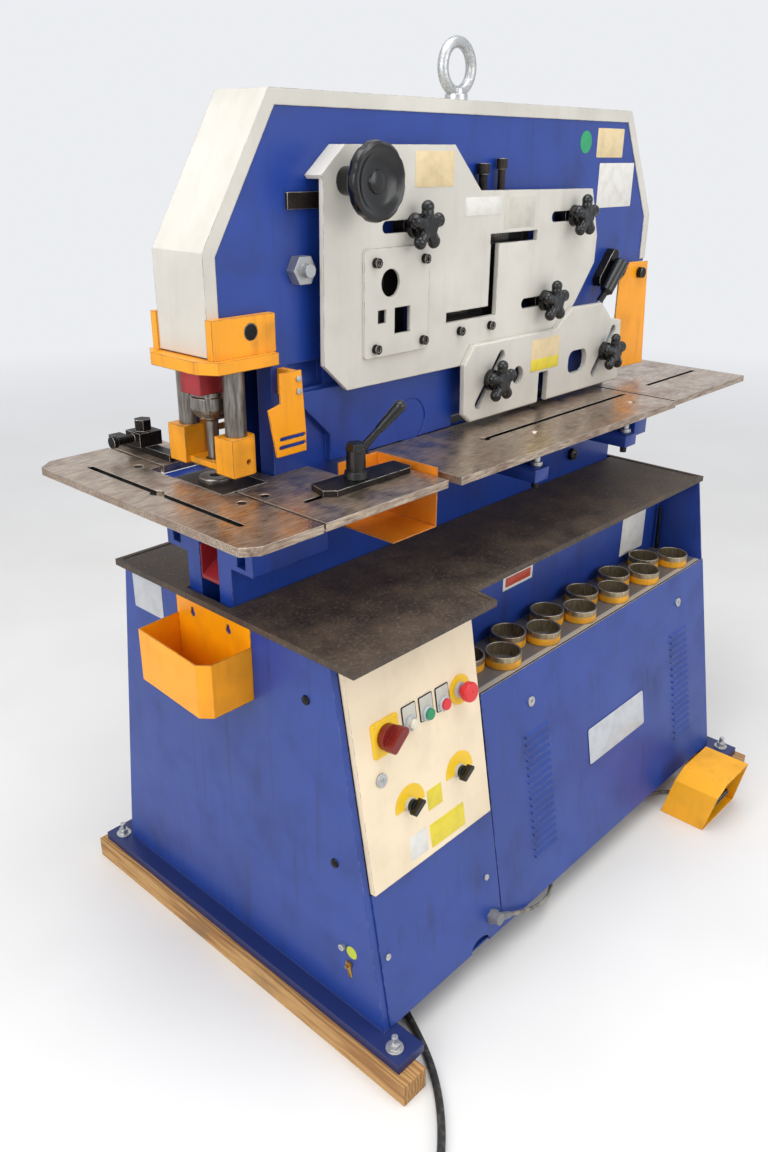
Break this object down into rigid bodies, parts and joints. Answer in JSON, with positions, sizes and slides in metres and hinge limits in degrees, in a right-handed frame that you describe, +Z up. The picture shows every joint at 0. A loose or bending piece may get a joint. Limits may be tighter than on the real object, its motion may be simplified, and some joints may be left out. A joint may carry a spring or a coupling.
{
  "type": "ironworker machine",
  "caption": "Hydraulic ironworker on a sloping cabinet: punch station, bar and section shear, flat shear and notcher, with tool recess, control door and foot pedal.",
  "frame": {"origin": "middle of the machine's footprint box without the cords, on the floor under the timber bearers", "axes": "+X from the punch end to the notching end, -Y the operator's side, +Z up"},
  "size_m": [1.9838, 1.3872, 1.8089],
  "materials": {
    "blue_paint": "satin enamel",
    "cream_paint": "semi gloss",
    "yellow_paint": "semi gloss, chipped",
    "orange_paint": "semi gloss",
    "door_paint": "fine structure",
    "red_paint": "satin",
    "table_steel": "milled, rust tinted",
    "tool_steel": "ground, oiled",
    "dark_steel": "black oxide",
    "zinc": "zinc plated",
    "black_plastic": "gloss",
    "red_plastic": "gloss",
    "green_plastic": "gloss",
    "yellow_plate": "satin",
    "rubber_mat": "worn",
    "timber": "sawn softwood",
    "cord_black": "matt",
    "cord_grey": "matt"
  },
  "bodies": {
    "machine": {"timber_bearers": "timber", "cabinet_shell": "blue_paint", "front_panel": "blue_paint", "lower_panel": "blue_paint", "deck_mat": "rubber_mat", "holder_rings": "tool_steel", "zinc_hardware": "zinc", "black_hardware": "dark_steel", "slug_bin": "yellow_paint", "slug_chute": "red_paint", "front_frame_plate": "blue_paint", "back_frame_plate": "blue_paint", "head_cover": "cream_paint", "punch_bridge": "yellow_paint", "guide_columns": "tool_steel", "die_block": "dark_steel", "die": "tool_steel", "punch_table_left": "table_steel", "punch_table_right": "table_steel", "long_table": "table_steel", "end_table": "table_steel", "cutoff_chute": "orange_paint", "punch_guard": "yellow_paint", "power_pack": "blue_paint", "electric_box": "door_paint", "pedal_guard": "yellow_paint", "mains_cable": "cord_black", "mains_coil": "cord_black", "mains_plug": "red_plastic", "pedal_cable": "cord_grey"},
    "beam": {"rocker_beam": "tool_steel"},
    "ram": {"punch_ram": "red_paint", "punch": "tool_steel"},
    "rod": {"cylinder_rod": "tool_steel"},
    "stripper": {"stripper": "yellow_paint"},
    "cover": {"shear_cover": "cream_paint", "cover_screws": "dark_steel"},
    "wheel": {"handwheel": "black_plastic"},
    "hold_down": {"hold_down_plate": "cream_paint"},
    "guard": {"notch_guard": "yellow_paint"},
    "door": {"control_door": "door_paint", "door_fittings": "yellow_plate"},
    "switch": {"main_switch": "red_plastic"},
    "selector_a": {"selector_left": "black_plastic"},
    "selector_b": {"selector_right": "black_plastic"},
    "key": {"door_lock": "zinc"},
    "green": {"button_green": "green_plastic"},
    "red": {"button_red": "red_plastic"},
    "stop": {"emergency_stop": "red_plastic"},
    "lock_a": {"panel_lock_left": "zinc"},
    "lock_b": {"panel_lock_right": "zinc"},
    "gauge_a": {"gauge_bar_left": "dark_steel"},
    "gauge_b": {"gauge_bar_right": "dark_steel"},
    "lever": {"clamp_lever": "black_plastic"},
    "pedal": {"treadle": "dark_steel"},
    "knob_1": {"star_knob_1": "black_plastic"},
    "knob_2": {"star_knob_2": "black_plastic"},
    "knob_3": {"star_knob_3": "black_plastic"},
    "knob_4": {"star_knob_4": "black_plastic"},
    "knob_5": {"star_knob_5": "black_plastic"}
  },
  "joints": [
    {"name": "beam_pivot", "type": "hinge", "parent": "machine", "child": "beam", "pos_m": [-0.2325, 0.096, 1.095], "axis": [0, -1, 0], "range_deg": [0, 3.2]},
    {"name": "ram_slide", "type": "slide", "parent": "machine", "child": "ram", "axis": [0, 0, -1], "range_m": [0, 0.026]},
    {"name": "rod_slide", "type": "slide", "parent": "machine", "child": "rod", "axis": [0, 0, 1], "range_m": [0, 0.038]},
    {"name": "stripper_slide", "type": "slide", "parent": "machine", "child": "stripper", "axis": [0, 0, 1], "range_m": [-0.012, 0.022]},
    {"name": "cover_slide", "type": "slide", "parent": "machine", "child": "cover", "axis": [1, 0, 0], "range_m": [0, 0.065]},
    {"name": "hold_down_slide", "type": "slide", "parent": "machine", "child": "hold_down", "axis": [0.6247, 0, 0.7809], "range_m": [-0.012, 0.028]},
    {"name": "guard_pivot", "type": "hinge", "parent": "machine", "child": "guard", "pos_m": [0.6245, 0.003, 1.323], "axis": [0, -1, 0], "range_deg": [0, 80]},
    {"name": "handwheel_turn", "type": "hinge", "parent": "cover", "child": "wheel", "pos_m": [-0.4415, -0.0095, 1.554], "axis": [0, 1, 0], "continuous": true},
    {"name": "knob_1_turn", "type": "hinge", "parent": "machine", "child": "knob_1", "pos_m": [-0.2625, -0.0228, 1.4745], "axis": [0, 1, 0], "continuous": true},
    {"name": "knob_2_turn", "type": "hinge", "parent": "machine", "child": "knob_2", "pos_m": [0.2795, -0.0228, 1.472], "axis": [0, 1, 0], "continuous": true},
    {"name": "knob_3_turn", "type": "hinge", "parent": "machine", "child": "knob_3", "pos_m": [0.1845, -0.0228, 1.297], "axis": [0, 1, 0], "continuous": true},
    {"name": "knob_4_turn", "type": "hinge", "parent": "machine", "child": "knob_4", "pos_m": [-0.0205, -0.0228, 1.152], "axis": [0, 1, 0], "continuous": true},
    {"name": "knob_5_turn", "type": "hinge", "parent": "machine", "child": "knob_5", "pos_m": [0.4425, -0.0228, 1.152], "axis": [0, 1, 0], "continuous": true},
    {"name": "door_hinge", "type": "hinge", "parent": "machine", "child": "door", "pos_m": [-0.3565, -0.28072, 0.58005], "axis": [0, 0.1745, 0.9847], "range_deg": [0, 95]},
    {"name": "switch_turn", "type": "hinge", "parent": "door", "child": "switch", "pos_m": [-0.6255, -0.26837, 0.648], "axis": [0, 0.9847, -0.1745], "range_deg": [0, 90]},
    {"name": "selector_left_turn", "type": "hinge", "parent": "door", "child": "selector_a", "pos_m": [-0.5845, -0.2962, 0.491], "axis": [0, 0.9847, -0.1745], "range_deg": [-30, 60]},
    {"name": "selector_right_turn", "type": "hinge", "parent": "door", "child": "selector_b", "pos_m": [-0.4395, -0.29602, 0.492], "axis": [0, 0.9847, -0.1745], "range_deg": [-30, 60]},
    {"name": "door_key_turn", "type": "hinge", "parent": "door", "child": "key", "pos_m": [-0.6495, -0.28184, 0.572], "axis": [0, 0.9847, -0.1745], "range_deg": [0, 90]},
    {"name": "green_press", "type": "slide", "parent": "door", "child": "green", "axis": [0, 0.9847, -0.1745], "range_m": [0, 0.005], "stiffness_N_per_m": 300},
    {"name": "red_press", "type": "slide", "parent": "door", "child": "red", "axis": [0, 0.9847, -0.1745], "range_m": [0, 0.005], "stiffness_N_per_m": 300},
    {"name": "stop_press", "type": "slide", "parent": "door", "child": "stop", "axis": [0, 0.9847, -0.1745], "range_m": [0, 0.006]},
    {"name": "panel_lock_left_turn", "type": "hinge", "parent": "machine", "child": "lock_a", "pos_m": [-0.1805, -0.28929, 0.53], "axis": [0, 0.9847, -0.1745], "range_deg": [0, 90]},
    {"name": "panel_lock_right_turn", "type": "hinge", "parent": "machine", "child": "lock_b", "pos_m": [0.4785, -0.28805, 0.537], "axis": [0, 0.9847, -0.1745], "range_deg": [0, 90]},
    {"name": "left_gauge_slide", "type": "slide", "parent": "machine", "child": "gauge_a", "axis": [0, 1, 0], "range_m": [-0.045, 0.025]},
    {"name": "right_gauge_slide", "type": "slide", "parent": "machine", "child": "gauge_b", "axis": [1, 0, 0], "range_m": [-0.045, 0.014]},
    {"name": "clamp_lever_turn", "type": "hinge", "parent": "gauge_b", "child": "lever", "pos_m": [-0.5225, -0.11, 1.0686], "axis": [0, 0, 1], "range_deg": [-90, 70]},
    {"name": "treadle_pivot", "type": "hinge", "parent": "machine", "child": "pedal", "pos_m": [0.4365, -0.41, 0.034], "axis": [1, 0, 0], "range_deg": [0, 12], "stiffness_Nm_per_rad": 6, "springref_deg": -8.59}
  ],
  "couplings": [
    {"joint": "ram_slide", "follows": "beam_pivot", "m_per_rad": 0.443},
    {"joint": "rod_slide", "follows": "beam_pivot", "m_per_rad": 0.625}
  ]
}
